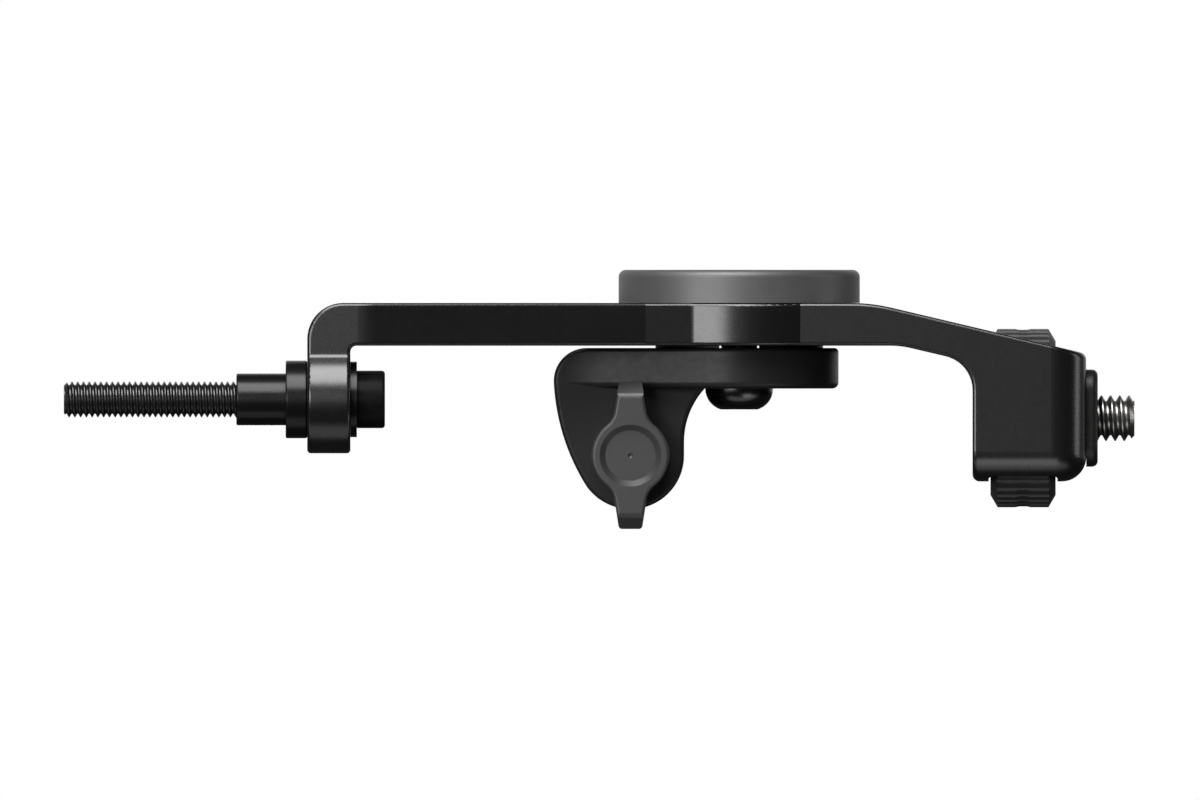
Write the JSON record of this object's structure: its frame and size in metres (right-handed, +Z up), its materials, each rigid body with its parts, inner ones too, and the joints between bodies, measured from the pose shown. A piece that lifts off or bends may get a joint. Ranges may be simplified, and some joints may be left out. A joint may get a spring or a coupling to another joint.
{
  "type": "bike computer mount",
  "caption": "Forked arm held by the stem's faceplate bolts, with a twist-lock computer socket on top, a finger mount below it and a camera screw turned by a thumb wheel.",
  "frame": {"origin": "midway between the two stem bolts, in the plane where their threads leave the spacers", "axes": "+X forward from the stem towards the camera screw, +Z up out of the computer socket, +Y to the left"},
  "size_m": [0.1487, 0.055, 0.036],
  "materials": {
    "anodised_aluminium": "satin black anodised aluminium, fine bead-blasted",
    "wheel_aluminium": "dark grey anodised aluminium with straight grip grooves",
    "black_steel": "black oxide steel",
    "bare_steel": "machined steel thread",
    "grey_plastic": "dark grey moulded plastic, fine grain",
    "black_plastic": "black moulded plastic, fine grain",
    "pad_rubber": "black moulded rubber"
  },
  "bodies": {
    "mount_arm": {"arm": "anodised_aluminium", "computer_socket": "grey_plastic", "socket_screw_rear": "black_steel", "socket_screw_front": "black_steel", "pivot_screw": "black_steel", "stem_bolt_right": "black_steel", "stem_bolt_left": "black_steel", "stem_spacer_right": "anodised_aluminium", "stem_spacer_left": "anodised_aluminium", "stem_washer_right": "black_steel", "stem_washer_left": "black_steel", "camera_pad": "pad_rubber"},
    "finger_mount": {"finger_mount": "black_plastic", "finger_nut": "black_steel"},
    "thumb_screw": {"thumb_bolt": "black_steel", "thumb_wing": "grey_plastic"},
    "camera_screw": {"camera_screw": "bare_steel", "camera_wheel": "wheel_aluminium", "wheel_grub_screw": "black_steel"}
  },
  "joints": [
    {"name": "finger_swivel", "type": "hinge", "parent": "mount_arm", "child": "finger_mount", "pos_m": [0.07, 0, 0.0043], "axis": [0, 0, 1], "continuous": true},
    {"name": "thumb_screw_turn", "type": "hinge", "parent": "finger_mount", "child": "thumb_screw", "pos_m": [0.0549, 0, -0.0078], "axis": [0, 1, 0], "continuous": true},
    {"name": "camera_screw_turn", "type": "hinge", "parent": "mount_arm", "child": "camera_screw", "pos_m": [0.10942, 0, -0.0026], "axis": [1, 0, 0], "continuous": true}
  ]
}
